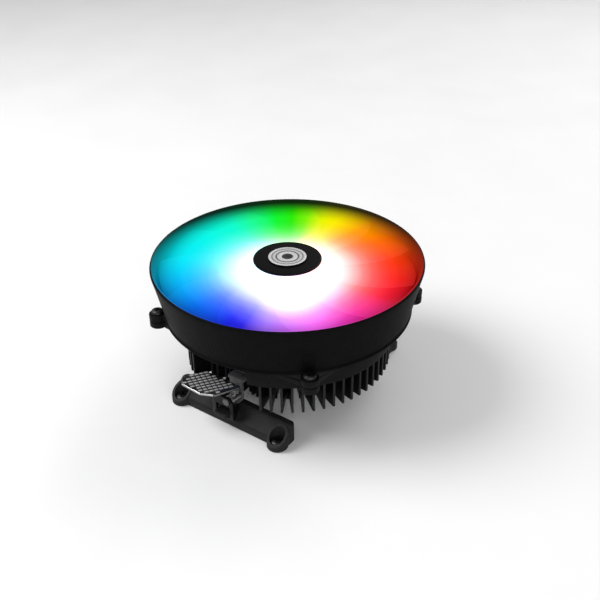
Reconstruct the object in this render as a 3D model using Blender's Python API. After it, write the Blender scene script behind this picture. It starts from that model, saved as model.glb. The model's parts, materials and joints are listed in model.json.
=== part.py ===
"""Low-profile top-flow CPU cooler: a lit 120 mm fan on a round radial-fin heatsink, held by a cam-lever clip.

The origin is on the fan's axis, at the height of the board under the two retention bars.
+Z is up, +Y runs along the clip towards its rear hook, and +X runs along the bars.
"""
import math

import bmesh
import bpy
from mathutils import Matrix, Vector

MM = 0.001
GAP = 0.3 * MM                      # clearance left between neighbouring pieces

# Fan: a bowl-shaped frame that widens towards its rim
FAN_TOP_Z = 62.6 * MM
FAN_BOTTOM_Z = 37.0 * MM
RIM_RADIUS = 60.0 * MM
LIP_RADIUS = 55.0 * MM
LIP_Z = 40.0 * MM
WALL = 1.6 * MM
FOOT_RADIUS = 50.2 * MM             # outer radius of the frame where it meets the mount ring
OUTLET_RADIUS = 48.4 * MM
MOTOR_BASE_RADIUS = 20.5 * MM
ARM_COUNT = 4
ARM_WIDTH = 6.0 * MM
ARM_HEIGHT = 3.0 * MM
BASE_FLOOR = 2.2 * MM
EAR_SPACING = 82.5 * MM             # screw spacing of a 92 mm fan
EAR_RADIUS = 3.9 * MM
EAR_HEIGHT = 3.0 * MM
EAR_ROOT = 0.7 * MM                 # how far an ear runs into the round body it stands on
FAN_SCREW_RADIUS = 1.5 * MM
FAN_SCREW_HEAD = (2.7 * MM, 1.6 * MM)
FAN_SCREW_REACH = 4.4 * MM          # below the frame

# Impeller
BLADE_COUNT = 11
BLADE_TOP_Z = 59.0 * MM
BLADE_BOTTOM_Z = 49.5 * MM          # at the tip; the root stays higher
BLADE_ROOT_BOTTOM_Z = 53.5 * MM
BLADE_SPAN_DEG = 64.0
BLADE_SWEEP_DEG = 16.0
BLADE_THICKNESS = 1.5 * MM
BLADE_CLEARANCE = 1.1 * MM
HUB_RADIUS = 19.0 * MM
HUB_WALL = 2.0 * MM
HUB_TOP_Z = 61.1 * MM
HUB_BOTTOM_Z = 43.0 * MM
HUB_CEILING_Z = 57.0 * MM           # inside face of the hub's top
CAP_RADIUS = 15.1 * MM
CAP_THICKNESS = 0.8 * MM
BADGE_RADIUS = 8.4 * MM
BADGE_TOP_Z = 63.0 * MM
BADGE_DISH = 0.2 * MM               # thickness of the badge between its rim and its centre
BADGE_DISH_RADII = (4.2 * MM, 7.4 * MM)

# Motor
SHAFT_RADIUS = 1.5 * MM
SHAFT_Z = (40.0 * MM, 58.2 * MM)
GROOVE_RADIUS = 1.0 * MM
BEARING_RADIUS = 3.3 * MM
PLUG_HEIGHT = 1.9 * MM
TUBE_RADIUS = 5.0 * MM
TUBE_TOP_Z = 55.0 * MM
STATOR_Z = (44.6 * MM, 51.0 * MM)
POLE_COUNT = 4
POLE_RADIUS = 12.6 * MM
POLE_NECK_HALF = 1.5 * MM
SHOE_SPAN_DEG = 34.0                # half the width of a pole shoe
SHOE_THICKNESS = 1.2 * MM
CORE_RING = 2.2 * MM                # width of the stack's inner ring
COIL_INNER_RADIUS = 7.6 * MM
COIL_THICKNESS = 1.6 * MM
MAGNET_RADII = (13.4 * MM, 15.0 * MM)
MAGNET_Z = (43.6 * MM, 53.4 * MM)
YOKE_RADII = (15.3 * MM, 16.4 * MM)
YOKE_Z = (43.4 * MM, 56.6 * MM)
LED_COUNT = 6
LED_RADIUS = 17.2 * MM
LED_HALF = (1.4 * MM, 1.75 * MM)
LED_HEIGHT = 1.4 * MM
BOARD_THICKNESS = 1.2 * MM
WASHER_Z = (41.2 * MM, 41.8 * MM)   # lock washer in the shaft's groove
WASHER_RADII = (1.3 * MM, 2.9 * MM)

# Heatsink: a solid core with Y-shaped fins
CORE_RADIUS = 18.0 * MM
FIN_RADIUS = 46.5 * MM
FIN_COUNT = 32
FIN_PHASE_DEG = -65.7
FORK_RADIUS = 27.0 * MM
STEM_HALF = 0.7 * MM
BRANCH_HALF = 0.5 * MM
SINK_BOTTOM_Z = 7.5 * MM
SINK_TOP_Z = 36.6 * MM
FIN_BOTTOM_Z = 13.0 * MM
RELIEF_RADIUS = 30.0 * MM           # fins below FIN_BOTTOM_Z stop here, clear of the socket
NOTCH_FACE_Y = -36.5 * MM           # inner face of the notch that the clip's lever lies in
SINK_NOTCH_DEG = (-116.32, -71.32)  # both sides fall midway between two fin stems

# Ring that carries the fan on the fins
RING_Z = (35.4 * MM, 36.7 * MM)
SKIRT_BOTTOM_Z = 27.0 * MM
SKIRT_RADII = (46.8 * MM, 48.3 * MM)
SKIRT_NOTCH_DEG = (-116.32, -74.5)
NOTCH_REACH = 70.0 * MM             # outer end of a notch cutter, beyond every piece

# Retention bars and their screws
SCREW_X = 27.0 * MM
SCREW_Y = 45.0 * MM
BAR_HALF_LENGTH = 31.0 * MM
BAR_Y = (36.7 * MM, 46.4 * MM)
BAR_HEIGHT = 9.3 * MM
BAR_CORNER = 2.4 * MM
SLOPE_START_Y = 39.8 * MM           # the flat top ends here and falls towards the screws
SLOPE_END_Y = 53.8 * MM
SLOPE = 0.77
BOSS_RADIUS = 4.7 * MM
POCKET_RADIUS = 3.45 * MM
POCKET_FLOOR_Z = 1.2 * MM
BAR_SCREW_SHANK = 1.75 * MM
BAR_SCREW_HEAD = 2.95 * MM
BAR_SCREW_TOP_Z = 3.5 * MM
LUG_HALF_WIDTH = 3.3 * MM
LUG_Z = (6.4 * MM, 8.6 * MM)
LUG_REACH_Y = 50.4 * MM
LUG_ROOT = 3.0 * MM                 # how far the lug starts inside the bar

# Clip
STRAP_HALF_WIDTH = 4.2 * MM
STRAP_THICKNESS = 1.5 * MM
STRAP_Z = 19.2 * MM                 # underside, just above the seat milled in the heatsink
SEAT_HALF_WIDTH = 4.8 * MM
STRAP_DROP_Y = 37.4 * MM
STRAP_SLOT = ((-2.2 * MM, 2.2 * MM), (-35.4 * MM, -33.9 * MM))
FOOT_TOP_Z = 11.1 * MM
FOOT_HALF_WIDTH = 3.3 * MM
HOOK_FACE_Y = 48.2 * MM
HOOK_HALF_WIDTH = 5.8 * MM
HOOK_Z = (4.9 * MM, 16.3 * MM)
WINDOW_TOP_Z = 11.8 * MM
HOOK_CHAMFER = 2.0 * MM
CHEEK_Z = (11.6 * MM, 12.8 * MM)    # free edge of a cheek
CHEEK_Y = -43.2 * MM
CHEEK_THICKNESS = 0.9 * MM
SHEET = 1.2 * MM
PIVOT_X = 2.4 * MM
PIVOT_Z = 14.5 * MM
PIN_RADIUS = 0.95 * MM
BORE_RADIUS = 1.25 * MM
CAM_RADIUS = 2.3 * MM
CAM_OFFSET = 0.8 * MM
CAM_Y = (-46.6 * MM, -40.2 * MM)
WEB_X = (0.9 * MM, 3.4 * MM)
WEB_DEPTH = 2.8 * MM
PAD_Z = (18.3 * MM, 19.6 * MM)
PAD_OUTLINE = ((-17.1, -54.6), (-6.3, -55.2), (0.1, -52.2), (5.1, -42.1), (4.5, -41.2), (-14.9, -41.4),
               (-18.1, -45.7), (-18.2, -48.2), (-20.1, -51.2))
FLANGE_DEPTH = 1.9 * MM
FLANGE_WIDTH = 1.4 * MM

FINE = 64                           # segments of the large turned pieces
SMALL = 16                          # segments of screws and pins
SECTION_TO_X = ((0, 0, 1, 0), (1, 0, 0, 0), (0, 1, 0, 0), (0, 0, 0, 1))     # for a (y, z) outline


# ---------------------------------------------------------------- materials and mesh helpers

def material(name, color, roughness, metallic=0.0):
    made = bpy.data.materials.new(name)
    made.use_nodes = True
    shader = made.node_tree.nodes["Principled BSDF"]
    shader.inputs["Base Color"].default_value = (*color, 1.0)
    shader.inputs["Roughness"].default_value = roughness
    shader.inputs["Metallic"].default_value = metallic
    return made


def object_from(mesh_builder, name):
    """Turn a bmesh into a named object with its faces pointing out."""
    bmesh.ops.recalc_face_normals(mesh_builder, faces=mesh_builder.faces)
    mesh = bpy.data.meshes.new(name)
    mesh_builder.to_mesh(mesh)
    mesh_builder.free()
    made = bpy.data.objects.new(name, mesh)
    bpy.context.scene.collection.objects.link(made)
    return made


def finished(body, finish, smooth_deg=35.0):
    """Give a piece its material and shade its round faces smooth."""
    body.data.materials.clear()
    body.data.materials.append(finish)
    body.data.shade_smooth()
    body.data.set_sharp_from_angle(angle=math.radians(smooth_deg))
    return body


def ring_points(radius, z, steps):
    turn = 2.0 * math.pi / steps
    return [(radius * math.cos(i * turn), radius * math.sin(i * turn), z) for i in range(steps)]


def turned(name, profile, steps=FINE):
    """Revolve a profile of (radius, z) points about Z; a profile off the axis closes on itself."""
    work = bmesh.new()
    rings = []
    for radius, z in profile:
        points = [(0.0, 0.0, z)] if radius == 0.0 else ring_points(radius, z, steps)
        rings.append([work.verts.new(point) for point in points])
    pairs = list(zip(rings, rings[1:]))
    if profile[0][0] > 0.0:
        pairs.append((rings[-1], rings[0]))
    for lower, upper in pairs:
        for i in range(steps):
            j = (i + 1) % steps
            loop = (lower[i % len(lower)], lower[j % len(lower)],
                    upper[j % len(upper)], upper[i % len(upper)])
            work.faces.new(list(dict.fromkeys(loop)))
    return object_from(work, name)


def prism(name, outline, low, high):
    """Extrude a closed outline of (x, y) points from low to high along Z."""
    work = bmesh.new()
    bottom = [work.verts.new((x, y, low)) for x, y in outline]
    top = [work.verts.new((x, y, high)) for x, y in outline]
    work.faces.new(bottom)
    work.faces.new(top)
    for i in range(len(outline)):
        j = (i + 1) % len(outline)
        work.faces.new((bottom[i], bottom[j], top[j], top[i]))
    return object_from(work, name)


def block(name, x, y, z):
    """Make a box from its (low, high) limits on each axis."""
    return prism(name, [(x[0], y[0]), (x[1], y[0]), (x[1], y[1]), (x[0], y[1])], *z)


def rod(name, radius, center, low, high, axis="Z", steps=SMALL):
    """Make a round bar along Z or Y, between low and high on that axis."""
    made = turned(name, [(0.0, low), (radius, low), (radius, high), (0.0, high)], steps)
    if axis == "Y":
        made.data.transform(Matrix.Rotation(math.radians(-90.0), 4, "X"))
        made.data.transform(Matrix.Translation((center[0], 0.0, center[1])))
    else:
        made.data.transform(Matrix.Translation((center[0], center[1], 0.0)))
    return made


def combine(body, tool, operation):
    """Apply one Boolean to a body and remove the tool."""
    boolean = body.modifiers.new("cut", "BOOLEAN")
    boolean.operation = operation
    boolean.object = tool
    bpy.context.view_layer.update()
    evaluated = body.evaluated_get(bpy.context.evaluated_depsgraph_get())
    result = bpy.data.meshes.new_from_object(evaluated)
    body.modifiers.clear()
    body.data = result
    result.name = body.name
    bpy.data.objects.remove(tool)
    return body


def cut(body, *tools):
    for tool in tools:
        combine(body, tool, "DIFFERENCE")
    return body


def join(body, *tools):
    for tool in tools:
        combine(body, tool, "UNION")
    return body


def bevelled(body, width, segments=1, angle_deg=40.0):
    bevel = body.modifiers.new("edge", "BEVEL")
    bevel.width = width
    bevel.segments = segments
    bevel.limit_method = "ANGLE"
    bevel.angle_limit = math.radians(angle_deg)
    bevel.use_clamp_overlap = True
    return body


def arc(center, radius, start_deg, end_deg, steps):
    """Points along an arc, both ends included."""
    angles = [math.radians(start_deg + (end_deg - start_deg) * i / steps) for i in range(steps + 1)]
    return [(center[0] + radius * math.cos(a), center[1] + radius * math.sin(a)) for a in angles]


def notch(angles_deg, z, face_y=NOTCH_FACE_Y):
    """A cutter that opens outwards between two radial lines, from a flat inner face."""
    lines = [math.radians(angle) for angle in angles_deg]
    inner = [(face_y / math.tan(line), face_y) for line in lines]
    outer = [(NOTCH_REACH * math.cos(line), NOTCH_REACH * math.sin(line)) for line in reversed(lines)]
    return prism("notch", inner + outer, *z)


def corners(spacing_x, spacing_y):
    """The four corners of a rectangle, anticlockwise from the rear right."""
    return [(sx * spacing_x / 2, sy * spacing_y / 2) for sx, sy in ((1, 1), (-1, 1), (-1, -1), (1, -1))]


def screw(name, place, shank, head, z, finish):
    """A pan-head screw: z holds the tip, the underside of the head and its top."""
    tip, seat, top = z
    long_half, short_half, depth = head * 0.62, head * 0.15, head * 0.35
    profile = [(0.0, tip), (shank * 0.7, tip), (shank, tip + shank * 0.5), (shank, seat), (head, seat),
               (head, top - head * 0.25), (head * 0.72, top), (0.0, top)]
    body = turned(name, profile, SMALL)
    for half_x, half_y in ((long_half, short_half), (short_half, long_half)):
        cut(body, block("cross", (-half_x, half_x), (-half_y, half_y), (top - depth, top + GAP)))
    body.data.transform(Matrix.Translation((place[0], place[1], 0.0)))
    return finished(body, finish)


# ---------------------------------------------------------------- retention bars

def bar_outline():
    """Plan of one bar: a beam with a rounded back edge and two round bosses on its front corners."""
    back, front = BAR_Y
    dip = math.degrees(math.acos((front - SCREW_Y) / BOSS_RADIUS))
    side = math.degrees(math.acos((BAR_HALF_LENGTH - SCREW_X) / BOSS_RADIUS))
    points = arc((BAR_HALF_LENGTH - BAR_CORNER, back + BAR_CORNER), BAR_CORNER, -90.0, 0.0, 3)
    points += arc((SCREW_X, SCREW_Y), BOSS_RADIUS, -side, 90.0 + dip, 8)
    return points + [(-x, y) for x, y in reversed(points)]


def slope_cutter():
    """What is cut away above the sloped part of a bar."""
    above = BAR_HEIGHT + MM
    far_z = BAR_HEIGHT - SLOPE * (SLOPE_END_Y - SLOPE_START_Y)
    section = [(SLOPE_START_Y, BAR_HEIGHT), (SLOPE_END_Y, far_z),
               (SLOPE_END_Y, above), (SLOPE_START_Y, above)]
    reach = BAR_HALF_LENGTH + 9.0 * MM
    cutter = prism("slope", section, -reach, reach)
    cutter.data.transform(Matrix(SECTION_TO_X))
    return cutter


def retention_bar(name, side, finish):
    """A wedge-shaped bar for the clip to hook onto; side is +1 for the rear bar and -1 for the front one."""
    bar = cut(prism(name, bar_outline(), 0.0, BAR_HEIGHT), slope_cutter())
    join(bar, block("lug", (-LUG_HALF_WIDTH, LUG_HALF_WIDTH), (BAR_Y[0] + LUG_ROOT, LUG_REACH_Y), LUG_Z))
    for x in (-SCREW_X, SCREW_X):
        place = (x, SCREW_Y)
        cut(bar, rod("pocket", POCKET_RADIUS, place, POCKET_FLOOR_Z, BAR_HEIGHT + MM, steps=20),
            rod("hole", BAR_SCREW_SHANK + 0.35 * MM, place, -MM, POCKET_FLOOR_Z + MM, steps=12))
    if side < 0:
        bar.data.transform(Matrix.Rotation(math.pi, 4, "Z"))
    return finished(bar, finish)


def bar_screws(finish):
    heights = (GAP, POCKET_FLOOR_Z + GAP, BAR_SCREW_TOP_Z)
    for number, place in enumerate(corners(2 * SCREW_X, 2 * SCREW_Y), 1):
        screw(f"bar_screw_{number}", place, BAR_SCREW_SHANK, BAR_SCREW_HEAD, heights, finish)


# ---------------------------------------------------------------- heatsink

def fin_outline(angle):
    """One Y-shaped fin, seen from above, at an angle about the core."""
    tip_shift = FIN_RADIUS * math.sin(math.pi / (2 * FIN_COUNT))
    slope = tip_shift / (FIN_RADIUS - FORK_RADIUS)
    crotch = FORK_RADIUS + BRANCH_HALF / slope
    outer, inner = tip_shift + BRANCH_HALF, tip_shift - BRANCH_HALF
    side = [(CORE_RADIUS, STEM_HALF), (FORK_RADIUS, STEM_HALF),
            (math.sqrt(FIN_RADIUS ** 2 - outer ** 2), outer), (math.sqrt(FIN_RADIUS ** 2 - inner ** 2), inner)]
    local = [(u, -v) for u, v in side] + [(crotch, 0.0)] + list(reversed(side))
    cos, sin = math.cos(angle), math.sin(angle)
    return [(u * cos - v * sin, u * sin + v * cos) for u, v in local]


def heatsink(finish):
    outline = []
    for i in range(FIN_COUNT):
        outline += fin_outline(math.radians(FIN_PHASE_DEG) + 2.0 * math.pi * i / FIN_COUNT)
    sink = prism("heatsink", outline, SINK_BOTTOM_Z, SINK_TOP_Z)
    far = FIN_RADIUS + 4.0 * MM
    above, below = SINK_TOP_Z + MM, SINK_BOTTOM_Z - MM
    relief = turned("relief", [(RELIEF_RADIUS, below), (far, below), (far, FIN_BOTTOM_Z),
                               (RELIEF_RADIUS, FIN_BOTTOM_Z)])
    cut(sink, relief, notch(SINK_NOTCH_DEG, (below, above)),
        block("seat", (-SEAT_HALF_WIDTH, SEAT_HALF_WIDTH), (-far, far), (STRAP_Z - GAP, above)))
    return finished(sink, finish, 20.0)


# ---------------------------------------------------------------- fan mount ring

def ear_outline(reach):
    """Plan of one ear on the diagonal: a rounded end, with sides that run back into the ring."""
    half = EAR_SPACING / 2
    return arc((half, half), EAR_RADIUS, -82.0, 172.0, 8) + arc((0.0, 0.0), reach - EAR_ROOT, 65.0, 25.0, 6)


def add_ears(body, reach, low, high):
    """Join four screw ears to a round body and drill them."""
    for quarter in range(4):
        ear = prism("ear", ear_outline(reach), low, high)
        ear.data.transform(Matrix.Rotation(quarter * math.pi / 2, 4, "Z"))
        join(body, ear)
    for place in corners(EAR_SPACING, EAR_SPACING):
        cut(body, rod("hole", FAN_SCREW_RADIUS + GAP, place, low - MM, high + MM, steps=14))
    return body


def mount_ring(finish):
    inner, outer = SKIRT_RADII
    ring = turned("fan_mount_ring", [(inner, SKIRT_BOTTOM_Z), (outer, SKIRT_BOTTOM_Z), (outer, RING_Z[1]),
                                     (inner, RING_Z[1])])
    add_ears(ring, outer, RING_Z[1] - EAR_HEIGHT, RING_Z[1])
    cut(ring, notch(SKIRT_NOTCH_DEG, (SKIRT_BOTTOM_Z - MM, RING_Z[0])))
    return finished(ring, finish)


# ---------------------------------------------------------------- fan frame

def wall_radius(z):
    """Outer radius of the bowl at a height."""
    return LIP_RADIUS + (RIM_RADIUS - LIP_RADIUS) * (z - LIP_Z) / (FAN_TOP_Z - LIP_Z)


def bowl_profile():
    shelf = LIP_Z - 0.9 * MM
    edge = 0.5 * MM
    heights = [LIP_Z + 0.4 * MM, LIP_Z + 7.0 * MM, LIP_Z + 14.0 * MM, FAN_TOP_Z - edge]
    outside = [(wall_radius(z), z) for z in heights]
    drops = [0.0, 5.0 * MM, 12.0 * MM, 19.0 * MM]
    inside = [(wall_radius(FAN_TOP_Z - drop) - WALL, FAN_TOP_Z - drop) for drop in drops]
    foot = [(OUTLET_RADIUS, LIP_Z + 0.5 * MM), (OUTLET_RADIUS, FAN_BOTTOM_Z), (FOOT_RADIUS, FAN_BOTTOM_Z),
            (FOOT_RADIUS, shelf), (LIP_RADIUS + 0.5 * MM, shelf), (LIP_RADIUS + 0.5 * MM, LIP_Z + 0.1 * MM)]
    return foot + outside + [(RIM_RADIUS - edge, FAN_TOP_Z)] + inside


def motor_base(frame):
    """Join the round base with its bearing tube, and the arms that carry it."""
    floor = FAN_BOTTOM_Z + BASE_FLOOR
    wall_top = FAN_BOTTOM_Z + 3.6 * MM
    inner = MOTOR_BASE_RADIUS - MM
    base = turned("base", [(0.0, FAN_BOTTOM_Z), (MOTOR_BASE_RADIUS, FAN_BOTTOM_Z),
                           (MOTOR_BASE_RADIUS, wall_top), (inner, wall_top), (inner, floor),
                           (TUBE_RADIUS, floor), (TUBE_RADIUS, TUBE_TOP_Z), (0.0, TUBE_TOP_Z)], 48)
    low, high = FAN_BOTTOM_Z - MM, TUBE_TOP_Z + MM
    cut(base, rod("bearing_seat", BEARING_RADIUS + GAP, (0.0, 0.0), low, high, steps=24))
    reach = (MOTOR_BASE_RADIUS - 0.7 * MM, OUTLET_RADIUS + MM)
    for i in range(ARM_COUNT):
        arm = block("arm", reach, (-ARM_WIDTH / 2, ARM_WIDTH / 2), (FAN_BOTTOM_Z, FAN_BOTTOM_Z + ARM_HEIGHT))
        arm.data.transform(Matrix.Rotation(math.radians(45.0) + i * 2.0 * math.pi / ARM_COUNT, 4, "Z"))
        join(base, arm)
    return join(frame, base)


def fan_frame(finish):
    frame = turned("fan_frame", bowl_profile())
    add_ears(frame, FOOT_RADIUS, FAN_BOTTOM_Z, FAN_BOTTOM_Z + EAR_HEIGHT)
    motor_base(frame)
    return finished(frame, finish)


def fan_screws(finish):
    seat = FAN_BOTTOM_Z + EAR_HEIGHT + GAP
    head_radius, head_height = FAN_SCREW_HEAD
    heights = (FAN_BOTTOM_Z - FAN_SCREW_REACH, seat, seat + head_height)
    for number, place in enumerate(corners(EAR_SPACING, EAR_SPACING), 1):
        screw(f"fan_screw_{number}", place, FAN_SCREW_RADIUS, head_radius, heights, finish)


# ---------------------------------------------------------------- fan motor, fixed side

def bearing_sleeve(finish):
    bore = SHAFT_RADIUS + GAP
    low, high = WASHER_Z[1] + 2 * GAP, TUBE_TOP_Z - 0.5 * MM
    sleeve = turned("bearing_sleeve", [(bore, low), (BEARING_RADIUS, low),
                                       (BEARING_RADIUS, high), (bore, high)], 24)
    return finished(sleeve, finish)


def base_plug(finish):
    """A cap that closes the bearing tube from below."""
    low = FAN_BOTTOM_Z + GAP
    high = low + PLUG_HEIGHT
    plug = turned("base_plug", [(0.0, low), (BEARING_RADIUS - GAP, low), (BEARING_RADIUS, low + GAP),
                                (BEARING_RADIUS, high), (0.0, high)], 24)
    return finished(plug, finish)


def circuit_board(finish):
    inner, outer = TUBE_RADIUS + GAP, MOTOR_BASE_RADIUS - 1.4 * MM
    low = FAN_BOTTOM_Z + BASE_FLOOR + GAP
    high = low + BOARD_THICKNESS
    board = turned("circuit_board", [(inner, low), (outer, low), (outer, high), (inner, high)], 40)
    return finished(board, finish)


def leds(finish):
    """Light-emitting diodes on the board, square to the fan's axis."""
    low = FAN_BOTTOM_Z + BASE_FLOOR + BOARD_THICKNESS + 2 * GAP
    half_depth, half_width = LED_HALF
    depth = (LED_RADIUS - half_depth, LED_RADIUS + half_depth)
    for i in range(LED_COUNT):
        package = block(f"led_{i + 1}", depth, (-half_width, half_width), (low, low + LED_HEIGHT))
        package.data.transform(Matrix.Rotation(math.radians(30.0) + i * 2.0 * math.pi / LED_COUNT, 4, "Z"))
        finished(package, finish)


def stator_core(finish):
    """A laminated stack with wide pole shoes, pushed over the bearing tube."""
    low, high = STATOR_Z
    core = rod("stator_core", TUBE_RADIUS + CORE_RING, (0.0, 0.0), low, high, steps=24)
    neck_reach = (TUBE_RADIUS + CORE_RING / 2, POLE_RADIUS - SHOE_THICKNESS / 2)
    for i in range(POLE_COUNT):
        shoe = arc((0.0, 0.0), POLE_RADIUS, -SHOE_SPAN_DEG, SHOE_SPAN_DEG, 6)
        shoe += arc((0.0, 0.0), POLE_RADIUS - SHOE_THICKNESS, SHOE_SPAN_DEG, -SHOE_SPAN_DEG, 6)
        pole = prism("shoe", shoe, low, high)
        join(pole, block("neck", neck_reach, (-POLE_NECK_HALF, POLE_NECK_HALF), (low, high)))
        pole.data.transform(Matrix.Rotation(2.0 * math.pi * i / POLE_COUNT, 4, "Z"))
        join(core, pole)
    cut(core, rod("bore", TUBE_RADIUS + GAP, (0.0, 0.0), low - MM, high + MM, steps=24))
    return finished(core, finish)


def stator_coils(finish):
    """One winding round the neck of each pole."""
    low, high = STATOR_Z
    hole_half = POLE_NECK_HALF + GAP
    reach = (COIL_INNER_RADIUS, POLE_RADIUS - SHOE_THICKNESS - 0.4 * MM)
    outer_half = POLE_NECK_HALF + COIL_THICKNESS
    for i in range(POLE_COUNT):
        coil = block(f"stator_coil_{i + 1}", reach, (-outer_half, outer_half),
                     (low - COIL_THICKNESS + 0.1 * MM, high + COIL_THICKNESS - 0.1 * MM))
        cut(coil, block("window", (reach[0] - MM, reach[1] + MM), (-hole_half, hole_half),
                        (low - GAP, high + GAP)))
        coil.data.transform(Matrix.Rotation(2.0 * math.pi * i / POLE_COUNT, 4, "Z"))
        finished(bevelled(coil, 0.5 * MM), finish)


# ---------------------------------------------------------------- rotor

def blade_point(angle, side, s, t):
    """A point of a blade: s runs along its chord, t from the hub to the tip, and side is -1/2 or 1/2."""
    root = HUB_RADIUS - HUB_WALL * 0.4
    tip = wall_radius(BLADE_TOP_Z + (BLADE_BOTTOM_Z - BLADE_TOP_Z) * s) - WALL - BLADE_CLEARANCE
    thickness = BLADE_THICKNESS * (0.35 + 0.65 * math.sin(math.pi * min(max(s, 0.12), 0.88)))
    bottom = BLADE_ROOT_BOTTOM_Z + (BLADE_BOTTOM_Z - BLADE_ROOT_BOTTOM_Z) * t
    z = BLADE_TOP_Z + (bottom - BLADE_TOP_Z) * s ** 1.1
    radius = root + (tip - root) * t
    turn = angle + math.radians(BLADE_SPAN_DEG * s + BLADE_SWEEP_DEG * t * t)
    return radius * math.cos(turn), radius * math.sin(turn), z + side * thickness


def blade(angle, spans=4, chords=7):
    """A cambered, swept blade as a closed grid of points, from inside the hub wall to the bowl."""
    work = bmesh.new()
    surfaces = []
    for side in (-0.5, 0.5):
        rows = []
        for k in range(chords + 1):
            points = [blade_point(angle, side, k / chords, m / spans) for m in range(spans + 1)]
            rows.append([work.verts.new(point) for point in points])
        surfaces.append(rows)
    for rows in surfaces:
        for lower, upper in zip(rows, rows[1:]):
            for m in range(spans):
                work.faces.new((lower[m], lower[m + 1], upper[m + 1], upper[m]))
    close_rim(work, surfaces)
    return object_from(work, "blade")


def close_rim(work, surfaces):
    """Stitch the edges of two matching grids together."""
    lower, upper = (rows[0][:-1] + [row[-1] for row in rows[:-1]] + rows[-1][:0:-1]
                    + [row[0] for row in rows[:0:-1]] for rows in surfaces)
    for i in range(len(lower)):
        j = (i + 1) % len(lower)
        work.faces.new((lower[i], lower[j], upper[j], upper[i]))


def impeller(finish):
    inner, ceiling = HUB_RADIUS - HUB_WALL, HUB_CEILING_Z
    hub = turned("impeller", [(0.0, ceiling), (inner - MM, ceiling), (inner, ceiling - MM),
                              (inner, HUB_BOTTOM_Z), (HUB_RADIUS, HUB_BOTTOM_Z),
                              (HUB_RADIUS, HUB_TOP_Z - 2.0 * MM),
                              (HUB_RADIUS - 0.6 * MM, HUB_TOP_Z - 0.6 * MM),
                              (HUB_RADIUS - 2.0 * MM, HUB_TOP_Z), (0.0, HUB_TOP_Z)])
    for i in range(BLADE_COUNT):
        join(hub, blade(2.0 * math.pi * i / BLADE_COUNT))
    cut(hub, rod("shaft_seat", SHAFT_RADIUS + GAP, (0.0, 0.0), ceiling - MM, ceiling + 1.6 * MM))
    return finished(hub, finish)


def hub_cap(finish):
    low = HUB_TOP_Z + GAP
    cap = turned("hub_cap", [(0.0, low), (CAP_RADIUS, low), (CAP_RADIUS, low + CAP_THICKNESS * 0.6),
                             (CAP_RADIUS - 0.4 * MM, low + CAP_THICKNESS), (0.0, low + CAP_THICKNESS)])
    return finished(cap, finish)


def hub_badge(finish):
    """A plain round badge with a raised rim and a raised centre."""
    low = HUB_TOP_Z + 2 * GAP + CAP_THICKNESS
    high, dish = BADGE_TOP_Z, low + BADGE_DISH
    centre, rim = BADGE_DISH_RADII
    slant = 0.4 * MM
    badge = turned("hub_badge", [(0.0, low), (BADGE_RADIUS, low), (BADGE_RADIUS, high), (rim, high),
                                 (rim - slant, dish), (centre + slant, dish), (centre, high), (0.0, high)], 48)
    return finished(badge, finish)


def rotor_yoke(finish):
    inner, outer = YOKE_RADII
    low, top = YOKE_Z
    roof = top - (outer - inner)
    hole = SHAFT_RADIUS + GAP
    yoke = turned("rotor_yoke", [(hole, roof), (inner, roof), (inner, low), (outer, low), (outer, top - 0.5 * MM),
                                 (outer - 0.8 * MM, top), (hole, top)], 40)
    return finished(yoke, finish)


def magnet_ring(finish):
    inner, outer = MAGNET_RADII
    low, high = MAGNET_Z
    return finished(turned("magnet_ring", [(inner, low), (outer, low), (outer, high), (inner, high)], 40), finish)


def rotor_shaft(finish):
    """The shaft, with a groove near its lower end for the lock washer."""
    low, high = SHAFT_Z
    below, above = WASHER_Z[0] - GAP, WASHER_Z[1] + GAP
    shaft = turned("rotor_shaft", [(0.0, low), (GROOVE_RADIUS, low), (SHAFT_RADIUS, low + 0.4 * MM),
                                   (SHAFT_RADIUS, below), (GROOVE_RADIUS, below), (GROOVE_RADIUS, above),
                                   (SHAFT_RADIUS, above), (SHAFT_RADIUS, high), (0.0, high)], SMALL)
    return finished(shaft, finish)


def lock_washer(finish):
    """The washer that keeps the shaft in its bearing."""
    inner, outer = WASHER_RADII
    low, high = WASHER_Z
    washer = turned("lock_washer", [(inner, low), (outer, low), (outer, high), (inner, high)], SMALL)
    return finished(washer, finish)


# ---------------------------------------------------------------- clip

def clip_strap(finish):
    """A spring-steel strap across the core, with a foot in front and a fixed hook behind."""
    top = STRAP_Z + STRAP_THICKNESS
    wide = (-STRAP_HALF_WIDTH, STRAP_HALF_WIDTH)
    foot_x = (-FOOT_HALF_WIDTH, FOOT_HALF_WIDTH)
    front = -STRAP_DROP_Y - STRAP_THICKNESS
    overlap = 0.4 * MM
    strap = block("clip_strap", wide, (front, HOOK_FACE_Y + SHEET), (STRAP_Z, top))
    foot_z = (FOOT_TOP_Z - STRAP_THICKNESS, FOOT_TOP_Z)
    join(strap, block("drop", foot_x, (front, -STRAP_DROP_Y), (foot_z[0], top - overlap)),
         block("foot", foot_x, (CAM_Y[0] + overlap, -STRAP_DROP_Y - overlap), foot_z),
         block("hook", wide, (HOOK_FACE_Y, HOOK_FACE_Y + SHEET), (HOOK_Z[0], top - overlap)))
    window = LUG_HALF_WIDTH + GAP
    cut(strap, block("window", (-window, window), (HOOK_FACE_Y - MM, HOOK_FACE_Y + 2 * SHEET),
                     (LUG_Z[0] - GAP, WINDOW_TOP_Z)),
        block("slot", *STRAP_SLOT, (STRAP_Z - MM, top + MM)))
    return finished(bevelled(strap, 0.3 * MM), finish)


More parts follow.
